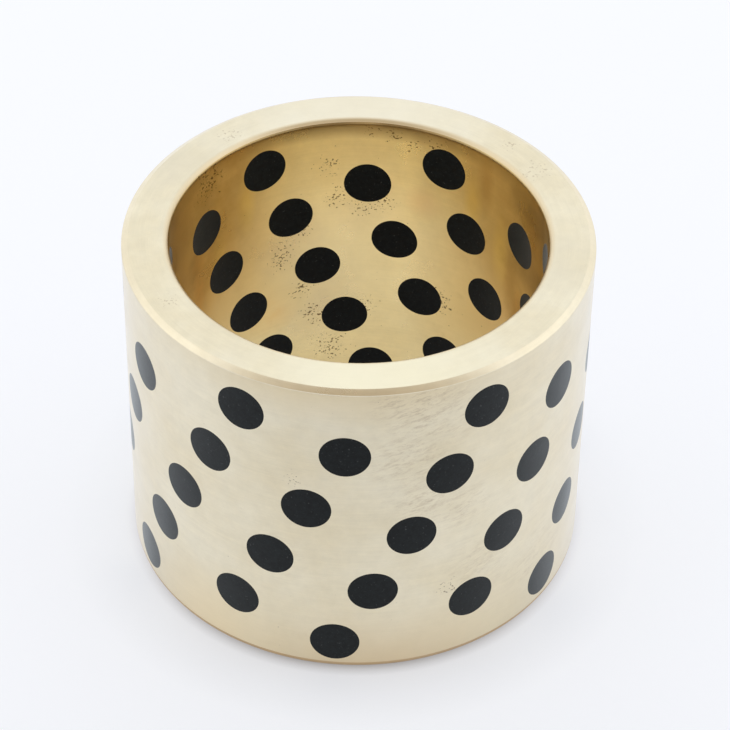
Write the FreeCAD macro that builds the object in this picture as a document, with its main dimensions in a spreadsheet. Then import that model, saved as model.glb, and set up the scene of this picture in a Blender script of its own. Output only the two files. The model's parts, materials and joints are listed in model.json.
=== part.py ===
import FreeCAD, Part
import os
import Sketcher

# Self-lubricating sleeve bushing: a turned bronze ring with rows of graphite plugs set through its wall.
# Millimetres and degrees. The origin is the middle of the bottom face, and +Z runs up the bore.

SIZES = (
    ("outer_diameter", 75, "fits the housing"),
    ("bore_diameter", 60, "runs on the shaft"),
    ("length", 60, "face to face"),
    ("top_chamfer_width", 1.0, "outer edge of the top face, measured along the radius"),
    ("top_chamfer_depth", 0.55, "the same chamfer, measured down the wall"),
    ("bottom_chamfer_width", 1.0, "outer edge of the bottom face, measured along the radius"),
    ("bottom_chamfer_depth", 0.9, "the same chamfer, measured up the wall"),
    ("bore_chamfer", 0.65, "45 degree chamfer at both ends of the bore"),
    ("plug_diameter", 8, "the plugs fill their holes"),
    ("plugs_per_row", 6, "evenly spaced round the sleeve"),
    ("first_row_depth", 7.3, "top face to the centres of row a"),
    ("row_pitch", 5.8, "one row's centres to the next row's"),
    ("first_plug_angle", 62, "plug a1, anticlockwise from +X"),
    ("row_turn", 25.42, "each row is turned this far from the row above"),
)
ROW_NAMES = "abcdefghi"


def make_sheet(doc):
    """The driving dimensions, one named cell each."""
    sheet = doc.addObject("Spreadsheet::Sheet", "Sizes")
    for row, (alias, value, meaning) in enumerate(SIZES, start=1):
        sheet.set(f"A{row}", alias)
        sheet.set(f"B{row}", str(value))
        sheet.setAlias(f"B{row}", alias)
        sheet.set(f"C{row}", meaning)
    doc.recompute()
    return sheet


def origin_element(body, role):
    """One of a body's own origin planes or axes, such as XZ_Plane."""
    return next(element for element in body.Origin.OriginFeatures if element.Role == role)


def new_sketch(body, name, plane_role):
    """An empty sketch attached to one of the body's origin planes."""
    sketch = body.newObject("Sketcher::SketchObject", name)
    sketch.AttachmentSupport = (origin_element(body, plane_role), [""])
    sketch.MapMode = "FlatFace"
    return sketch


def pin_point(sketch, line, point, axis, name, start, formula):
    """Holds one point of a line at a distance from the sketch's origin, along X or Y."""
    index = sketch.addConstraint(Sketcher.Constraint(f"Distance{axis}", -1, 1, line, point, start))
    sketch.renameConstraint(index, name)
    sketch.setExpression(f"Constraints.{name}", formula)


def ring_profile(sketch, sheet):
    """Half section of the ring, right of the axis: a rectangle with its four corners cut off."""
    outer = "Sizes.outer_diameter / 2"
    bore = "Sizes.bore_diameter / 2"
    corners = (
        (f"{bore} + Sizes.bore_chamfer", None),
        (f"{outer} - Sizes.bottom_chamfer_width", None),
        (outer, "Sizes.bottom_chamfer_depth"),
        (outer, "Sizes.length - Sizes.top_chamfer_depth"),
        (f"{outer} - Sizes.top_chamfer_width", "Sizes.length"),
        (f"{bore} + Sizes.bore_chamfer", "Sizes.length"),
        (bore, "Sizes.length - Sizes.bore_chamfer"),
        (bore, "Sizes.bore_chamfer"),
    )
    places = [
        FreeCAD.Vector(sheet.evalExpression(across), sheet.evalExpression(up) if up else 0, 0)
        for across, up in corners
    ]
    count = len(corners)
    for number, place in enumerate(places):
        sketch.addGeometry(Part.LineSegment(place, places[(number + 1) % count]), False)
    for number in range(count):
        sketch.addConstraint(Sketcher.Constraint("Coincident", number, 2, (number + 1) % count, 1))
    for number, (across, up) in enumerate(corners):
        pin_point(sketch, number, 1, "X", f"radius_{number + 1}", places[number].x, across)
        if up:
            pin_point(sketch, number, 1, "Y", f"height_{number + 1}", places[number].y, up)
        else:
            sketch.addConstraint(Sketcher.Constraint("PointOnObject", number, 1, -1))


def row_height(row):
    """Formula for the height of a row's centres above the bottom face."""
    return f"Sizes.length - Sizes.first_row_depth - {row} * Sizes.row_pitch"


def plug_angle(row, number):
    """Formula for a plug's angle round the bore, anticlockwise from +X."""
    return (
        f"(Sizes.first_plug_angle + {row} * Sizes.row_turn"
        f" + {number} * 360 / Sizes.plugs_per_row) * 1deg"
    )


def drill_row(body, sheet, row):
    """One row of plug holes: a hole drilled outwards from the bore's axis, then repeated round it."""
    label = ROW_NAMES[row]
    sketch = new_sketch(body, f"hole_sketch_{label}", "YZ_Plane")
    sketch.AttachmentOffset = FreeCAD.Placement(
        FreeCAD.Vector(), FreeCAD.Rotation(FreeCAD.Vector(0, 1, 0), 1)
    )
    sketch.setExpression("AttachmentOffset.Rotation.Angle", plug_angle(row, 0))
    height = sheet.evalExpression(row_height(row))
    circle = Part.Circle(FreeCAD.Vector(0, height, 0), FreeCAD.Vector(0, 0, 1), sheet.plug_diameter / 2)
    sketch.addGeometry(circle, False)
    sketch.addConstraint(Sketcher.Constraint("PointOnObject", 0, 3, -2))
    pin_point(sketch, 0, 3, "Y", "height", height, row_height(row))
    index = sketch.addConstraint(Sketcher.Constraint("Diameter", 0, sheet.plug_diameter))
    sketch.renameConstraint(index, "diameter")
    sketch.setExpression("Constraints.diameter", "Sizes.plug_diameter")

    hole = body.newObject("PartDesign::Pocket", f"hole_{label}")
    hole.Profile = sketch
    hole.Type = "Length"
    hole.Reversed = True
    hole.setExpression("Length", "Sizes.outer_diameter")

    pattern = body.newObject("PartDesign::PolarPattern", f"holes_{label}")
    pattern.Originals = [hole]
    pattern.Axis = (origin_element(body, "Z_Axis"), [""])
    pattern.Angle = 360
    pattern.setExpression("Occurrences", "Sizes.plugs_per_row")
    body.Tip = pattern


def bronze_sleeve(doc, sheet):
    """The ring, turned from its half section, with every plug hole drilled through its wall."""
    body = doc.addObject("PartDesign::Body", "bronze_sleeve")
    profile = new_sketch(body, "ring_sketch", "XZ_Plane")
    ring_profile(profile, sheet)
    ring = body.newObject("PartDesign::Revolution", "turned_ring")
    ring.Profile = profile
    ring.ReferenceAxis = (profile, ["V_Axis"])
    ring.Angle = 360
    doc.recompute()
    solid_volume = ring.Shape.Volume
    for row in range(len(ROW_NAMES)):
        drill_row(body, sheet, row)
    doc.recompute()
    drilled = solid_volume - body.Shape.Volume
    wall = (sheet.outer_diameter - sheet.bore_diameter) / 2
    hole_count = len(ROW_NAMES) * sheet.plugs_per_row
    least = hole_count * 0.95 * wall * 3.14 * (sheet.plug_diameter / 2) ** 2
    if drilled < least:
        raise RuntimeError(f"holes took {drilled:.0f} mm3 out of the sleeve, less than {least:.0f}")
    return body


def graphite_plugs(doc):
    """Every plug is the same short round bar, finished flush with the wall and with the bore.

    The bar lies along +X at the origin's height, and is cut to the ring's two curved surfaces.
    Each plug is that shape, raised to its row and turned to its place.
    """
    bar = doc.addObject("Part::Cylinder", "plug_bar")
    bar.setExpression("Radius", "Sizes.plug_diameter / 2")
    bar.setExpression("Height", "Sizes.outer_diameter")
    bar.Placement.Rotation = FreeCAD.Rotation(FreeCAD.Vector(0, 1, 0), 90)

    surfaces = []
    for name, diameter in (("outer_surface", "outer_diameter"), ("bore_surface", "bore_diameter")):
        surface = doc.addObject("Part::Cylinder", name)
        surface.setExpression("Radius", f"Sizes.{diameter} / 2")
        surface.setExpression("Height", "2 * Sizes.plug_diameter")
        surface.setExpression("Placement.Base.z", "-Sizes.plug_diameter")
        surfaces.append(surface)
    wall = doc.addObject("Part::Cut", "wall_slice")
    wall.Base, wall.Tool = surfaces

    plugs = []
    for row, label in enumerate(ROW_NAMES):
        for number in range(doc.Sizes.plugs_per_row):
            plug = doc.addObject("Part::Common", f"graphite_plug_{label}{number + 1}")
            plug.Base, plug.Tool = bar, wall
            plug.Placement.Rotation = FreeCAD.Rotation(FreeCAD.Vector(0, 0, 1), 1)
            plug.setExpression("Placement.Base.z", row_height(row))
            plug.setExpression("Placement.Rotation.Angle", plug_angle(row, number))
            plugs.append(plug)
    return plugs


def check(doc, pieces):
    """Stops if any object failed, or a piece isn't one valid solid."""
    for item in doc.Objects:
        if "Invalid" in item.State or "Error" in item.State:
            raise RuntimeError(f"{item.Name}: {item.State}")
    for piece in pieces:
        shape = piece.Shape
        if shape.isNull() or not shape.isValid() or len(shape.Solids) != 1:
            raise RuntimeError(f"{piece.Label} is not one valid solid")


doc = FreeCAD.newDocument("sleeve_bushing")
sheet = make_sheet(doc)
pieces = [bronze_sleeve(doc, sheet)] + graphite_plugs(doc)
doc.recompute()
check(doc, pieces)
os.makedirs("parts", exist_ok=True)
for piece in pieces:
    piece.Shape.exportStep(f"parts/{piece.Label}.step")
    print(piece.Label, round(piece.Shape.Volume, 2))
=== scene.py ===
import json
from math import pi, radians

import bmesh
import bpy
import numpy as np
from mathutils import Matrix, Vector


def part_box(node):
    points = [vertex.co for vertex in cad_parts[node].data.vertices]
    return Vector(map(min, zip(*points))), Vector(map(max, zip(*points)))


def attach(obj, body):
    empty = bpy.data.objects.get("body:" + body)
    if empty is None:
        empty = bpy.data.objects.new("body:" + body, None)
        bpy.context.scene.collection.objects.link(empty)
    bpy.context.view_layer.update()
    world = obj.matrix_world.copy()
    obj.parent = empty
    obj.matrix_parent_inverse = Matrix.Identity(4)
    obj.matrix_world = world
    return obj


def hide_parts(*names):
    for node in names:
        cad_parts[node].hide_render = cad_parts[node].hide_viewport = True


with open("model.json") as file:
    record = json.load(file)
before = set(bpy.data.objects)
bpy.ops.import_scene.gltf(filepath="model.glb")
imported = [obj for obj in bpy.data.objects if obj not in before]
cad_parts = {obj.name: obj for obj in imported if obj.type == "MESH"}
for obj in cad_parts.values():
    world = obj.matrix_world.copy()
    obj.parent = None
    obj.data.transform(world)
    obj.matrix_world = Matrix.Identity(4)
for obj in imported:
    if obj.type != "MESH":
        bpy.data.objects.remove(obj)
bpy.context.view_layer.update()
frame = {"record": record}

# Bronze sleeve, its shape: a tin bronze ring, cast and then turned all over. Each end has a small chamfer
# outside and an eased rim inside. Nine rows of round holes are drilled through the wall, each row turned a
# little from the one above, so that the holes stand in leaning columns.
MM = 0.001
ROWS = "abcdefghi"
PLUGS_PER_ROW = 6
PLUG_SPACING = 2 * pi / PLUGS_PER_ROW
FIRST_PLUG_ANGLE = radians(62)
ROW_TURN = radians(25.42)
PLUG_RADIUS = 4 * MM
# A chamfer is (width along the radius, height up the wall).
TOP_CHAMFER = (1.0 * MM, 0.55 * MM)
BOTTOM_CHAMFER = (1.0 * MM, 0.9 * MM)
BORE_CHAMFER = (0.65 * MM, 0.65 * MM)
CUT_ROUND = 0.2 * MM
BOTTOM_EDGE_ROUND = 1.5 * MM
BORE_EDGE_ROUND = 0.95 * MM
STRAIGHT_BEFORE_EDGE = 0.7 * MM

mounts = {mount["name"]: mount for mount in frame["record"]["mounts"]}
wall_radius = mounts["housing_seat"]["dims"]["r_mm"] * MM
bore_radius = mounts["shaft_bore"]["dims"]["r_mm"] * MM
sleeve_bottom, sleeve_top = (corner.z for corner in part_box("bronze_sleeve"))
row_heights = np.array([sum(corner.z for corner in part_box(f"graphite_plug_{row}1")) / 2 for row in ROWS])
row_pitch = (row_heights[0] - row_heights[-1]) / (len(ROWS) - 1)
row_angles = FIRST_PLUG_ANGLE + ROW_TURN * np.arange(len(ROWS))
plug_angles = row_angles[:, None] + PLUG_SPACING * np.arange(PLUGS_PER_ROW)

# An unrolled wall is a sheet of four-sided cells, one round each hole. A cell's corners are at its right,
# top, left and bottom, and its sides have SHORT_SIDE and LONG_SIDE steps by turns. Every corner is joined to
# the point of the hole's edge that lies corner_turns round from its right. The last row's cells stop at
# LOWEST_CELL above the bottom face, clear of its chamfer.
SHORT_SIDE = 12
LONG_SIDE = 20
AROUND = 2 * (SHORT_SIDE + LONG_SIDE)
TOP_CORNER_TURN = radians(65)
CELL_RINGS = 11
CELL_CROWDING = 1.15
LOWEST_CELL = 1.8 * MM
MARGIN_STEPS = 7
FACE_STEPS = 6
ARC_STEPS = 6
MERGE_DISTANCE = 0.001 * MM
SHARP_ANGLE = radians(35)
cell_lean = PLUG_SPACING / 2 - ROW_TURN
cell_corners = np.array([
    (PLUG_SPACING / 2, 0),
    (cell_lean, row_pitch),
    (-PLUG_SPACING / 2, 0),
    (-cell_lean, -row_pitch),
    (PLUG_SPACING / 2, 0),
])
corner_turns = np.array([0, TOP_CORNER_TURN, pi, pi + TOP_CORNER_TURN, 2 * pi])
corner_steps = np.cumsum([0, SHORT_SIDE, LONG_SIDE, SHORT_SIDE, LONG_SIDE])
around = np.arange(AROUND)
cell_edge = np.stack([np.interp(around, corner_steps, cell_corners[:, axis]) for axis in (0, 1)], -1)
last_cell_height = np.maximum(cell_edge[:, 1], LOWEST_CELL - row_heights[-1])
hole_turn = np.interp(around, corner_steps, corner_turns)


def on_cylinder(radius, angle, height):
    """Points at a radius and an angle round the bore's axis, and at a height."""
    radius, angle, height = np.broadcast_arrays(radius, angle, height)
    return np.stack([radius * np.cos(angle), radius * np.sin(angle), height], -1)


def grid_quads(rows, columns):
    """Four-sided faces of a grid of points numbered row by row, its last column joined to its first."""
    row = np.arange(rows - 1)[:, None] * columns
    here = np.arange(columns)
    after = (here + 1) % columns
    quads = np.stack([row + here, row + after, row + columns + after, row + columns + here], -1)
    return quads.reshape(-1, 4)


def drilled_wall(radius):
    """One curved wall of the sleeve, with its plug holes open, as (points, faces) of every cell.

    On the unrolled wall a point is hole edge + spread * (cell edge - hole edge), and the rings of points
    crowd towards the hole. The hole is drilled along a radius, so its edge is at angle
    asin(plug radius * cos(turn) / wall radius) from its middle.
    """
    spread = np.linspace(0, 1, CELL_RINGS)[:, None] ** CELL_CROWDING
    hole_angle = np.arcsin(PLUG_RADIUS * np.cos(hole_turn) / radius)
    hole_height = PLUG_RADIUS * np.sin(hole_turn)
    angle = hole_angle + spread * (cell_edge[:, 0] - hole_angle)
    edge_height = np.tile(cell_edge[:, 1], (len(ROWS), 1, 1, 1))
    edge_height[-1] = last_cell_height
    height = row_heights[:, None, None, None] + hole_height + spread * (edge_height - hole_height)
    points = on_cylinder(radius, plug_angles[:, :, None, None] + angle, height)
    points = points.reshape(-1, len(spread), AROUND, 3)
    cells, rings, _, _ = points.shape
    first = np.arange(cells)[:, None, None] * rings * AROUND
    faces = grid_quads(rings, AROUND) + first
    return points.reshape(-1, 3), faces.reshape(-1, 4)


def wall_margin(radius, edge_height, top):
    """Strip from the saw-toothed edge of the first or last row of cells, straight up or down to edge_height.

    The angles of its columns of points are returned too.
    """
    if top:
        teeth = slice(0, AROUND // 2)
        middles = plug_angles[0][::-1]
        start = row_heights[0] + cell_edge[teeth, 1]
    else:
        teeth = slice(AROUND // 2, AROUND)
        middles = plug_angles[-1]
        start = row_heights[-1] + last_cell_height[teeth]
    angle = (middles[:, None] + cell_edge[teeth, 0]).ravel()
    start = np.tile(start, PLUGS_PER_ROW)
    rise = np.linspace(0, 1, MARGIN_STEPS)[:, None]
    points = on_cylinder(radius, angle, start + rise * (edge_height - start))
    return points.reshape(-1, 3), grid_quads(len(rise), len(angle)), angle


def eased_corner(before, corner, after, radius):
    """Arc of that radius touching both straight runs of a corner, from the run before to the run after.

    With half the corner's angle a, the arc starts radius / tan(a) from the corner, and its centre is
    radius / sin(a) from it, on the line that halves the angle.
    """
    back = (before - corner) / np.linalg.norm(before - corner)
    ahead = (after - corner) / np.linalg.norm(after - corner)
    half = np.arccos(back @ ahead) / 2
    middle = (back + ahead) / np.linalg.norm(back + ahead)
    centre = corner + middle * radius / np.sin(half)
    start = corner + back * radius / np.tan(half) - centre
    end = corner + ahead * radius / np.tan(half) - centre
    sweep = pi - 2 * half
    share = np.linspace(0, 1, ARC_STEPS + 1)[:, None]
    return centre + (np.sin((1 - share) * sweep) * start + np.sin(share * sweep) * end) / np.sin(sweep)


def end_profile(face_height, inward, outer_chamfer, outer_round):
    """Half section of one end, as (radius, height): up the wall, over the face and down into the bore.

    inward is +1 when the sleeve lies below the face and -1 when it lies above it. The numbers of the
    points where the outer edge, the face and the bore's finish start are returned too.
    """
    corners = np.array([
        (wall_radius, outer_chamfer[1] + STRAIGHT_BEFORE_EDGE),
        (wall_radius, outer_chamfer[1]),
        (wall_radius - outer_chamfer[0], 0),
        (bore_radius + BORE_CHAMFER[0], 0),
        (bore_radius, BORE_CHAMFER[1]),
        (bore_radius, BORE_CHAMFER[1] + STRAIGHT_BEFORE_EDGE),
    ])
    rounds = (outer_round, CUT_ROUND, BORE_EDGE_ROUND, BORE_EDGE_ROUND)
    arcs = [
        eased_corner(corners[number], corners[number + 1], corners[number + 2], rounding)
        for number, rounding in enumerate(rounds)
    ]
    face = np.linspace(arcs[1][-1], arcs[2][0], FACE_STEPS)[1:-1]
    profile = np.concatenate([corners[:1], arcs[0], arcs[1], face, arcs[2], arcs[3], corners[-1:]])
    profile[:, 1] = face_height - inward * profile[:, 1]
    edge_start = 1
    face_start = edge_start + len(arcs[0]) + len(arcs[1]) // 2
    rim_middle = len(profile) - len(arcs[3])
    return profile, edge_start, face_start, rim_middle


def end_ring(angle, profile):
    """One end of the sleeve: the end's half section carried round the axis."""
    points = on_cylinder(profile[:, :1], angle, profile[:, 1:])
    return points.reshape(-1, 3), grid_quads(len(profile), len(angle))


def hole_walls():
    """Straight round wall of every hole, from its edge outside to its edge in the bore."""
    across = PLUG_RADIUS * np.cos(hole_turn)
    radius = np.array([[wall_radius], [bore_radius]])
    points = on_cylinder(
        radius,
        plug_angles.reshape(-1, 1, 1) + np.arcsin(across / radius),
        np.repeat(row_heights, PLUGS_PER_ROW).reshape(-1, 1, 1) + PLUG_RADIUS * np.sin(hole_turn),
    )
    first = np.arange(len(points))[:, None, None] * 2 * AROUND
    faces = grid_quads(2, AROUND) + first
    return points.reshape(-1, 3), faces.reshape(-1, 4)


def closed_mesh(name, surfaces):
    """Joins surfaces, each (points, faces, finish number), into one closed mesh facing outwards."""
    mesh = bpy.data.meshes.new(name)
    first_points = np.cumsum([0] + [len(points) for points, _, _ in surfaces])
    points = np.concatenate([surface[0] for surface in surfaces])
    faces = np.concatenate([surface[1] + first for surface, first in zip(surfaces, first_points)])
    finish = np.concatenate([np.full(len(surface[1]), surface[2]) for surface in surfaces])
    mesh.from_pydata(points, [], faces.tolist())
    mesh.polygons.foreach_set("material_index", finish.astype(np.int32))
    shape = bmesh.new()
    shape.from_mesh(mesh)
    bmesh.ops.remove_doubles(shape, verts=shape.verts, dist=MERGE_DISTANCE)
    bmesh.ops.recalc_face_normals(shape, faces=shape.faces)
    shape.to_mesh(mesh)
    shape.free()
    mesh.polygons.foreach_set("use_smooth", np.ones(len(mesh.polygons), bool))
    mesh.set_sharp_from_angle(angle=SHARP_ANGLE)
    piece = bpy.data.objects.new(name, mesh)
    bpy.context.scene.collection.objects.link(piece)
    return piece


WALL, END_FACE, TOP_EDGE, BORE, BOTTOM_EDGE = 0, 1, 2, 3, 4
sleeve_surfaces = [
    (*drilled_wall(wall_radius), WALL),
    (*drilled_wall(bore_radius), BORE),
    (*hole_walls(), BORE),
]
for face_height, inward, chamfer, outer_round, edge in (
    (sleeve_top, 1, TOP_CHAMFER, CUT_ROUND, TOP_EDGE),
    (sleeve_bottom, -1, BOTTOM_CHAMFER, BOTTOM_EDGE_ROUND, BOTTOM_EDGE),
):
    profile, edge_start, face_start, rim_middle = end_profile(face_height, inward, chamfer, outer_round)
    outer_strip = wall_margin(wall_radius, profile[0, 1], inward > 0)
    bore_strip = wall_margin(bore_radius, profile[-1, 1], inward > 0)
    angle = outer_strip[2]
    sleeve_surfaces.append((*outer_strip[:2], WALL))
    sleeve_surfaces.append((*bore_strip[:2], BORE))
    sleeve_surfaces.append((*end_ring(angle, profile[:edge_start + 1]), WALL))
    sleeve_surfaces.append((*end_ring(angle, profile[edge_start:face_start + 1]), edge))
    sleeve_surfaces.append((*end_ring(angle, profile[face_start:rim_middle + 1]), END_FACE))
    sleeve_surfaces.append((*end_ring(angle, profile[rim_middle:]), BORE))
sleeve = closed_mesh("sleeve", sleeve_surfaces)
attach(sleeve, "root")
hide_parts("bronze_sleeve")


# Bronze sleeve, its finish: bare bronze straight off the lathe. Fine turning marks run round it and scatter
# light up and down. Handling has left cloudy stains and brown scuffs, and casting pores show in the bore.
# Shade and reflections are painted into the colour as well: darker metal high on the front, at the foot, on
# the bore's rim, under it and down the bore's sides, paler patches on the top face, and bright bands in the
# bore.
def node_adder(tree):
    """A function that adds a node to a tree, or sets up the one that already has that name."""
    def add(kind, settings=None, **inputs):
        """An input is named, or numbered as i0, i1 and so on, and takes a plain value or a node's output."""
        node = tree.nodes[kind] if kind in tree.nodes else tree.nodes.new(kind)
        for key, value in (settings or {}).items():
            setattr(node, key, value)
        for key, value in inputs.items():
            number = key[1:]
            socket = node.inputs[int(number) if number.isdigit() else key.replace("_", " ")]
            if isinstance(value, bpy.types.NodeSocket):
                tree.links.new(value, socket)
            else:
                socket.default_value = value
        return node

    return add


def new_material(name):
    """A node material, and the function that adds to its nodes."""
    material = bpy.data.materials.new(name)
    material.use_nodes = True
    return material, node_adder(material.node_tree)


def spread_noise(add, place, scale, detail, roughness, stretch=(1, 1, 1), turn=(0, 0, 0)):
    """Noise from 0 to 1, in spots about 1 / scale metres across.

    It is turned, in radians, and then its spots are made stretch times thinner along each axis.
    """
    turned = add("ShaderNodeMapping", {"vector_type": "POINT"}, i0=place, i2=turn).outputs[0]
    moved = add("ShaderNodeMapping", {"vector_type": "POINT"}, i0=turned, i3=stretch).outputs[0]
    noise = add("ShaderNodeTexNoise", Vector=moved, Scale=scale, Detail=detail, Roughness=roughness)
    return noise.outputs[0]


def between(add, value, low, high, at_low, at_high, course="LINEAR"):
    """Carries a value from the range low..high to at_low..at_high, and holds it at the ends."""
    settings = {"interpolation_type": course}
    return add("ShaderNodeMapRange", settings, i0=value, i1=low, i2=high, i3=at_low, i4=at_high).outputs[0]


def worked_out(add, operation, first, second):
    """The sum, product or other result of two values."""
    return add("ShaderNodeMath", {"operation": operation}, i0=first, i1=second).outputs[0]


def product(add, first, second):
    """Two values multiplied."""
    return worked_out(add, "MULTIPLY", first, second)


def two_colours(add, value, low, low_colour, high, high_colour):
    """Fades from one colour, where the value is low, to another, where it is high."""
    ramp = add("ShaderNodeValToRGB", i0=value)
    for stop, position, colour in zip(ramp.color_ramp.elements, (low, high), (low_colour, high_colour)):
        stop.position = position
        stop.color = (*colour, 1)
    return ramp.outputs[0]


def near_spots(add, place, spots, squeeze=1.0):
    """1 in the middle of each spot and 0 outside them all, or 1 all over when no spots are given.

    A spot is (radius, angle, height, reach), in mm and degrees. Where place has its heights squeezed, the
    same squeeze is given for the spots.
    """
    nearest = 1.0
    for number, (radius, angle, height, reach) in enumerate(spots):
        middle = on_cylinder(radius * MM, radians(angle), height * squeeze * MM)
        away = add("ShaderNodeVectorMath", {"operation": "DISTANCE"}, i0=place, i1=tuple(middle))
        near = between(add, away.outputs["Value"], 0.25 * reach * MM, reach * MM, 1.0, 0.0)
        if number == 0:
            nearest = near
        else:
            nearest = worked_out(add, "MAXIMUM", nearest, near)
    return nearest


DULLED = np.array([0.96, 0.935, 0.88])
COLUMN_SQUEEZE = 0.3
PORE_CROWDING = 0.2
PORE_EDGE = 0.77
PORE_MIDDLE = 0.82
SURFACE_RELIEF = 0.02 * MM


def bronze(name, tint, roughness, rings=False, stains_and_painted_light=(), coat=0.0, sheen=0.0, grooves=0.5):
    """Turned bronze, its turning marks in rings on an end face and in level lines on a wall.

    The list of marks holds (pattern, colour, share, spots), and the share is how much of the metal's colour
    the mark covers at most. Some marks are stains, scuffs and pores, and others are painted shade and
    painted reflections. Pores crowd near their spots, and a column is a spot drawn out up and down the wall.
    The other patterns are listed below.
    """
    material, add = new_material(name)
    place = add("ShaderNodeTexCoord").outputs["Object"]
    sides = add("ShaderNodeSeparateXYZ", i0=place).outputs
    height = sides[2]
    flat = add("ShaderNodeVectorMath", {"operation": "MULTIPLY"}, i0=place, i1=(1, 1, 0)).outputs[0]
    radius = add("ShaderNodeVectorMath", {"operation": "LENGTH"}, i0=flat).outputs["Value"]
    along = place
    if rings:
        along = add("ShaderNodeCombineXYZ", i0=sides[0], i1=sides[1], i2=radius).outputs[0]
    lines = spread_noise(add, along, scale=90, detail=6, roughness=0.68, stretch=(1, 1, 14))
    fine_lines = spread_noise(add, along, scale=160, detail=3, roughness=0.6, stretch=(1, 1, 45))
    blots = spread_noise(add, place, scale=70, detail=4, roughness=0.6)
    mottle = spread_noise(add, place, scale=420, detail=5, roughness=0.7)
    pores = spread_noise(add, place, scale=2100, detail=2, roughness=0.5, stretch=(1, 1, 1.2))
    scuffs = spread_noise(add, place, 300, 6, 0.85, stretch=(1, 1, 3.6), turn=(0, 0.3, 0))
    patterns = {
        "cloud": between(add, blots, 0.42, 0.62, 0.25, 1.0),
        "scuff": between(add, scuffs, 0.48, 0.72, 0.0, 1.0),
        "even": 1.0,
        # The under rim, shoulder, foot and rim patterns place painted shade.
        "under rim": between(add, height, sleeve_top - 3.8 * MM, sleeve_top - 0.6 * MM, 0.0, 1.0),
        "shoulder": between(add, height, sleeve_top - 7 * MM, sleeve_top - 1 * MM, 0.0, 1.0),
        "foot": between(add, height, sleeve_bottom + 17 * MM, sleeve_bottom + 2 * MM, 0.0, 1.0),
        "rim": between(add, radius, bore_radius + 0.3 * MM, bore_radius + 1.1 * MM, 1.0, 0.0),
    }
    squeeze = (1, 1, COLUMN_SQUEEZE)
    squeezed = add("ShaderNodeVectorMath", {"operation": "MULTIPLY"}, i0=place, i1=squeeze).outputs[0]

    clean = two_colours(add, blots, 0.35, tint * DULLED, 0.65, tint)
    grain = between(add, mottle, 0.3, 0.7, 0.95, 1.03)
    coarse_streak = between(add, lines, 0.3, 0.7, 0.97, 1.02)
    fine_streak = between(add, fine_lines, 0.3, 0.7, 0.98, 1.015)
    shade = product(add, grain, product(add, coarse_streak, fine_streak))
    colour = add("ShaderNodeVectorMath", {"operation": "SCALE"}, i0=clean, Scale=shade).outputs[0]
    for pattern, mark_colour, share, spots in stains_and_painted_light:
        if pattern == "column":
            covered = product(add, near_spots(add, squeezed, spots, COLUMN_SQUEEZE), share)
        elif pattern == "pore":
            crowding = product(add, near_spots(add, place, spots), PORE_CROWDING)
            crowded = worked_out(add, "ADD", pores, crowding)
            covered = between(add, crowded, PORE_EDGE, PORE_MIDDLE, 0.0, share)
        else:
            covered = product(add, product(add, patterns[pattern], near_spots(add, place, spots)), share)
        mixed = add("ShaderNodeMix", {"data_type": "RGBA"}, i0=covered, i6=colour, i7=(*mark_colour, 1))
        colour = mixed.outputs[2]
    grooved = add("ShaderNodeBump", Height=lines, Strength=0.17, Distance=SURFACE_RELIEF).outputs[0]
    rough = add("ShaderNodeBump", Height=mottle, Strength=0.28, Distance=SURFACE_RELIEF, Normal=grooved)
    add(
        "Principled BSDF",
        Base_Color=colour,
        Metallic=1.0,
        Roughness=between(add, blots, 0.3, 0.7, roughness + 0.05, roughness - 0.03),
        Anisotropic=grooves,
        Anisotropic_Rotation=0.25,
        Tangent=add("ShaderNodeTangent", {"direction_type": "RADIAL", "axis": "Z"}).outputs[0],
        Coat_Weight=coat,
        Coat_Roughness=0.35,
        Sheen_Weight=sheen,
        Sheen_Roughness=0.3,
        Normal=rough.outputs[0],
    )
    return material


def on_wall(*spots):
    """Spots on the outer wall, each (angle, height, reach)."""
    return [(wall_radius / MM, *spot) for spot in spots]


def on_top(*spots):
    """Spots on the top face, each (radius, angle, reach)."""
    return [(radius, angle, sleeve_top / MM, reach) for radius, angle, reach in spots]


def in_bore(*spots):
    """Spots on the bore's wall, each (angle, height, reach)."""
    return [(bore_radius / MM, *spot) for spot in spots]


ALL_ROUND = ()
SCUFF_BROWN = (0.46, 0.36, 0.23)
PORE_BROWN = (0.15, 0.095, 0.04)
FACE_PORE_BROWN = (0.40, 0.31, 0.20)

# Each list runs from the first mark laid down to the last. The lists hold real stains, scuffs and pores, and
# painted shade and painted reflections as well, as marked below.
wall_stains_and_painted_shade = [
    ("cloud", (0.82, 0.68, 0.44), 0.5, on_wall((235, 3, 14), (300, 2, 15), (60, 4, 20), (150, 55, 20))),
    # Painted shade: a darker band high on the front, and darker, warmer metal towards the foot, all round
    # and most at the front.
    ("shoulder", (0.76, 0.62, 0.37), 0.6, on_wall((268, 59, 32))),
    ("foot", (0.74, 0.64, 0.43), 0.5, ALL_ROUND),
    ("foot", (0.70, 0.54, 0.32), 0.6, on_wall((274, 0, 20))),
    ("even", (0.95, 0.77, 0.46), 0.35, on_wall((232, 0, 15))),
    ("scuff", SCUFF_BROWN, 0.75, on_wall((283, 46, 9), (288, 54, 10), (286, 37, 8), (297, 33, 6))),
    ("scuff", SCUFF_BROWN, 0.8, on_wall((279, 57.5, 5), (285, 58, 5))),
    ("scuff", SCUFF_BROWN, 0.5, on_wall((303, 19, 9), (322, 12, 9), (250, 24, 6), (120, 30, 15))),
    ("pore", PORE_BROWN, 0.7, on_wall((293, 16, 3.2), (327, 46, 3), (255, 41, 2.5), (80, 25, 5))),
]
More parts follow.
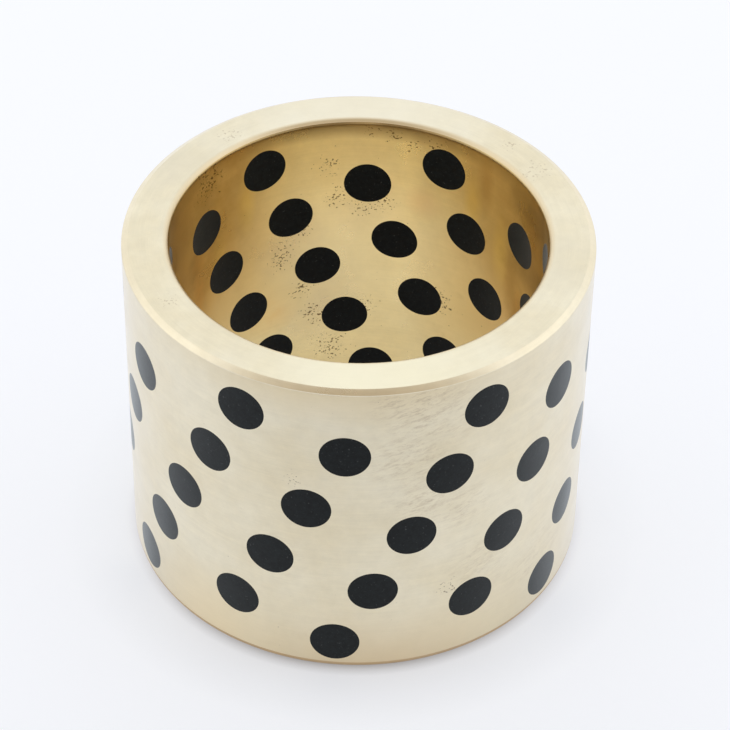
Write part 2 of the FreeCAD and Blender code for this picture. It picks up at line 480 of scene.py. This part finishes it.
face_stains_and_painted_light = [
    # Painted light: paler metal at the back and at the front of the top face.
    ("even", (0.88, 0.85, 0.72), 0.6, on_top((34, 88, 24))),
    ("even", (0.90, 0.86, 0.66), 0.7, on_top((34, 275, 22))),
    ("pore", FACE_PORE_BROWN, 0.45, on_top((33, 31, 4.5), (33, 130, 4), (34, 44, 3), (33.5, 210, 3))),
    ("cloud", (0.62, 0.56, 0.42), 0.35, on_top((33, 350, 10), (33, 150, 12))),
    # Painted shade: darker metal on the eased rim of the bore.
    ("rim", (0.74, 0.61, 0.39), 0.9, ALL_ROUND),
]
bore_stains_and_painted_light = [
    # Painted shade: a dark band under the back of the rim.
    ("under rim", (0.26, 0.17, 0.07), 1.0, in_bore((90, 60, 36))),
    # Painted shade and painted reflections down both sides: warmer, darker metal, and upright bands of gold
    # and brown painted as reflected streaks.
    ("even", (0.95, 0.68, 0.27), 0.8, in_bore((38, 26, 20), (140, 32, 20))),
    ("even", (0.60, 0.35, 0.09), 0.5, in_bore((165, 34, 26), (12, 34, 26))),
    ("cloud", (0.95, 0.60, 0.20), 0.9, in_bore((153, 36, 9), (120, 22, 6), (30, 26, 9))),
    ("even", (0.90, 0.62, 0.30), 0.5, in_bore((69, 44.4, 4))),
    ("even", (0.78, 0.63, 0.34), 0.6, in_bore((101, 31, 14))),
    ("column", (0.58, 0.37, 0.14), 0.5, in_bore((46, 53, 2.2), (32, 37, 2.6))),
    ("column", (1.0, 0.76, 0.28), 0.8, in_bore((51, 48, 2.2), (38, 42, 2.4), (129, 47, 2.2), (141, 39, 2))),
    ("column", (0.95, 0.50, 0.12), 0.7, in_bore((152, 38, 2.4), (27, 30, 2.4), (160, 32, 2))),
    # Dull clouds round the pores. The darker clouds under the rim and far round both sides are painted
    # shade.
    ("cloud", (0.66, 0.51, 0.30), 0.5, in_bore((89, 43, 8), (109, 38, 6), (106, 22, 10), (116, 33, 6))),
    ("cloud", (0.55, 0.38, 0.17), 0.7, in_bore((140, 58, 10), (88, 60, 4), (66, 60, 5))),
    ("cloud", (0.52, 0.33, 0.11), 1.0, in_bore((172, 40, 34), (10, 38, 34), (40, 20, 18))),
    ("pore", PORE_BROWN, 0.95, in_bore((87, 58, 2.5), (79.5, 57.4, 3), (73.5, 56, 2.6), (66, 57, 3))),
    ("pore", PORE_BROWN, 0.95, in_bore((97, 43.6, 4), (89, 42, 4.2), (82, 42.6, 3.5), (100, 51, 3.5))),
    ("pore", PORE_BROWN, 0.95, in_bore((105, 19, 5), (99, 11, 6), (87, 20, 3.5), (109, 25, 4))),
    ("pore", PORE_BROWN, 0.9, in_bore((116, 33, 5), (109, 38, 3.5), (62, 24, 5), (145, 57, 7))),
]
# In the order of WALL, END_FACE, TOP_EDGE, BORE and BOTTOM_EDGE.
sleeve_finishes = [
    bronze("turned_wall", (0.83, 0.76, 0.578), 0.42, stains_and_painted_light=wall_stains_and_painted_shade, coat=0.9, sheen=0.7),
    bronze("faced_end", (0.82, 0.77, 0.61), 0.42, rings=True, stains_and_painted_light=face_stains_and_painted_light, coat=0.4, grooves=0.22),
    bronze("cut_edge", (0.84, 0.775, 0.605), 0.30, coat=0.4, grooves=0.2),
    bronze("bored_wall", (0.95, 0.77, 0.40), 0.28, stains_and_painted_light=bore_stains_and_painted_light, grooves=0.4),
    # The foot edge's darker, warmer tint is painted shade.
    bronze("foot_edge", (0.62, 0.46, 0.28), 0.4),
]
for finish in sleeve_finishes:
    sleeve.data.materials.append(finish)


# Graphite plugs: short round bars of black solid lubricant, pressed into the holes and turned flush with the
# wall outside and with the bore inside. Each end is curved like the wall that it fills, and the outer ends
# are dustier than the inner ones.
PLUG_RINGS = 7
OUTER_END, INNER_END = 0, 1
GRAPHITE_BLACK = (0.001, 0.001, 0.001)
GRAPHITE_GREY = (0.007, 0.010, 0.011)
SPECK_GREY = (0.3, 0.3, 0.3, 1)
DUST_BLUE = (0.85, 0.93, 1.0, 1)
GRAIN_RELIEF = 0.03 * MM


def plug_end(radius, angle, height):
    """Rings of points over one end of a plug, from its middle to its edge.

    A ring is share * plug radius from the plug's own axis. On a wall of that radius, a point that is
    across from the plug's axis is turned asin(across / wall radius) round the bore's axis.
    """
    share = np.linspace(0, 1, PLUG_RINGS)[:, None]
    turn = np.arcsin(share * PLUG_RADIUS * np.cos(hole_turn) / radius)
    return on_cylinder(radius, angle + turn, height + share * PLUG_RADIUS * np.sin(hole_turn))


def graphite_plug(name, angle, height):
    """A plug closed by its two ends, with its straight side between their edges."""
    outer_end = plug_end(wall_radius, angle, height)
    inner_end = plug_end(bore_radius, angle, height)
    side_and_inner_end = np.concatenate([outer_end[-1:], inner_end[::-1]])
    surfaces = [
        (rings.reshape(-1, 3), grid_quads(len(rings), AROUND), finish)
        for rings, finish in ((outer_end, OUTER_END), (side_and_inner_end, INNER_END))
    ]
    return closed_mesh(name, surfaces)


def graphite(name, dust):
    """Matte black graphite with a fine grain, and as much dusty sheen as given, seen where it is edge on."""
    material, add = new_material(name)
    place = add("ShaderNodeTexCoord").outputs["Object"]
    grain = spread_noise(add, place, scale=1200, detail=6, roughness=0.8)
    rub = spread_noise(add, place, scale=160, detail=3, roughness=0.5)
    specks = spread_noise(add, place, scale=2600, detail=2, roughness=0.5)
    colour = two_colours(add, grain, 0.35, GRAPHITE_BLACK, 0.7, GRAPHITE_GREY)
    bright = between(add, specks, 0.66, 0.74, 0.0, 0.12)
    speckled = add("ShaderNodeMix", {"data_type": "RGBA"}, i0=bright, i6=colour, i7=SPECK_GREY)
    rough = add("ShaderNodeBump", Height=grain, Strength=0.35, Distance=GRAIN_RELIEF)
    add(
        "Principled BSDF",
        Base_Color=speckled.outputs[2],
        Roughness=between(add, rub, 0.3, 0.7, 0.38, 0.5),
        IOR=1.16,
        Sheen_Weight=dust,
        Sheen_Roughness=0.36,
        Sheen_Tint=DUST_BLUE,
        Normal=rough.outputs[0],
    )
    return material


outer_graphite = graphite("graphite_outside", 0.88)
inner_graphite = graphite("graphite_inside", 0.4)
for row, row_name in enumerate(ROWS):
    for number in range(PLUGS_PER_ROW):
        label = f"{row_name}{number + 1}"
        plug = graphite_plug(f"plug_{label}", plug_angles[row, number], row_heights[row])
        plug.data.materials.append(outer_graphite)
        plug.data.materials.append(inner_graphite)
        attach(plug, "root")
        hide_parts(f"graphite_plug_{label}")


# Studio: the sleeve stands on a plain white light table, which glows a little, in an even white surround.
# The surround is brighter high on both sides and behind the sleeve, and dimmer and warmer above the camera.
FLOOR_SIZE = 6.0
TABLE_WHITE = (0.42, 0.433, 0.472, 1)
GLOW_WHITE = (0.965, 0.995, 1.045, 1)
EVEN_LEVEL = 1.0
DIM_WARM = (0.52, 0.42, 0.30, 1)
half = FLOOR_SIZE / 2
floor_corners = [(-half, -half, 0), (half, -half, 0), (half, half, 0), (-half, half, 0)]
floor_mesh = bpy.data.meshes.new("floor")
floor_mesh.from_pydata(floor_corners, [], [(0, 1, 2, 3)])
floor = bpy.data.objects.new("floor", floor_mesh)
bpy.context.scene.collection.objects.link(floor)

# The table's glow is shaped to paint light and shade. It glows most behind the sleeve and far out in front.
# It is dimmed close round the foot as a painted contact shadow, more in front than behind, and inside the
# bore its front half glows brighter as painted light.
floor_material, add = new_material("light_table")
place = add("ShaderNodeTexCoord").outputs["Object"]
ahead = add("ShaderNodeSeparateXYZ", i0=place).outputs["Y"]
from_axis = add("ShaderNodeVectorMath", {"operation": "LENGTH"}, i0=place).outputs["Value"]
behind = between(add, ahead, -240 * MM, -20 * MM, 0.15, 0.57, "SMOOTHSTEP")
far_in_front = between(add, ahead, -1200 * MM, -450 * MM, 0.42, 0.0)
# Painted contact shadow round the foot.
painted_shadow_at_foot = between(add, from_axis, 36 * MM, 39 * MM, 0.29, 0.0)
near = between(add, from_axis, 36 * MM, 50 * MM, 0.12, 0.0)
outside_bore = between(add, from_axis, 33 * MM, 36 * MM, 0.0, 1.0)
in_front = between(add, ahead, -36 * MM, -10 * MM, 1.0, 0.35)
shade = product(add, product(add, worked_out(add, "ADD", painted_shadow_at_foot, near), outside_bore), in_front)
# Painted light inside the bore's front half.
painted_light_in_bore = between(add, from_axis, 29 * MM, 31 * MM, 0.35, 0.0)
front_half = between(add, ahead, -25 * MM, 5 * MM, 1.0, 0.0)
glow = worked_out(add, "ADD", behind, far_in_front)
glow = worked_out(add, "SUBTRACT", glow, shade)
glow = worked_out(add, "ADD", glow, product(add, painted_light_in_bore, front_half))
add(
    "Principled BSDF",
    Base_Color=TABLE_WHITE,
    Roughness=0.9,
    Specular_IOR_Level=0.1,
    Emission_Color=GLOW_WHITE,
    Emission_Strength=glow,
)
floor.data.materials.append(floor_material)

world = bpy.data.worlds.new("studio")
bpy.context.scene.world = world
world.use_nodes = True
add = node_adder(world.node_tree)


def soft_patch(towards, middle, reach, level):
    """A round patch of the surround: level at its middle, fading to 0 at that angle from its middle."""
    nearness = add("ShaderNodeVectorMath", {"operation": "DOT_PRODUCT"}, i0=towards, i1=middle)
    return between(add, nearness.outputs["Value"], np.cos(reach), 1.0, 0.0, level, "SMOOTHSTEP")


towards = add("ShaderNodeTexCoord").outputs["Generated"]
both_sides = add("ShaderNodeVectorMath", {"operation": "ABSOLUTE"}, i0=towards).outputs[0]
side_lights = soft_patch(both_sides, (0.77, 0.0, 0.64), radians(38), 0.30)
back_light = soft_patch(towards, (0.0, 0.94, 0.34), radians(80), 0.10)
level = worked_out(add, "ADD", worked_out(add, "ADD", side_lights, back_light), EVEN_LEVEL)
# The dim patch is wider than it is high, so it is a round patch in directions narrowed from side to side.
narrowed = add("ShaderNodeVectorMath", {"operation": "MULTIPLY"}, i0=towards, i1=(0.7, 1, 1)).outputs[0]
narrowed = add("ShaderNodeVectorMath", {"operation": "NORMALIZE"}, i0=narrowed).outputs[0]
dim = soft_patch(narrowed, (0.0, -0.42, 0.907), radians(42), 1.0)
surround = add("ShaderNodeMix", {"data_type": "RGBA"}, i0=dim, i6=level, i7=DIM_WARM).outputs[2]
add("Background", Color=surround)


# Camera: stands in front of the sleeve and looks down at it through a long lens. Its pan, its tilt below
# level and its roll are in radians.
CAMERA_PLACE = (0, -365.5 * MM, 355.5 * MM)
CAMERA_PAN = 0.0035
CAMERA_TILT = 0.7237
CAMERA_ROLL = 0.0159
SENSOR_WIDTH_MM = 36
FOCAL_LENGTH_MM = 146.7
FARTHEST_SEEN = 20
camera = bpy.data.objects.new("camera", bpy.data.cameras.new("camera"))
camera.data.sensor_width = SENSOR_WIDTH_MM
camera.data.lens = FOCAL_LENGTH_MM
camera.data.clip_end = FARTHEST_SEEN
turned = Matrix.Rotation(-CAMERA_PAN, 4, "Z") @ Matrix.Rotation(pi / 2 - CAMERA_TILT, 4, "X")
camera.matrix_world = Matrix.Translation(CAMERA_PLACE) @ turned @ Matrix.Rotation(CAMERA_ROLL, 4, "Z")
bpy.context.scene.collection.objects.link(camera)
bpy.context.scene.camera = camera
bpy.context.scene.view_settings.view_transform = "Standard"
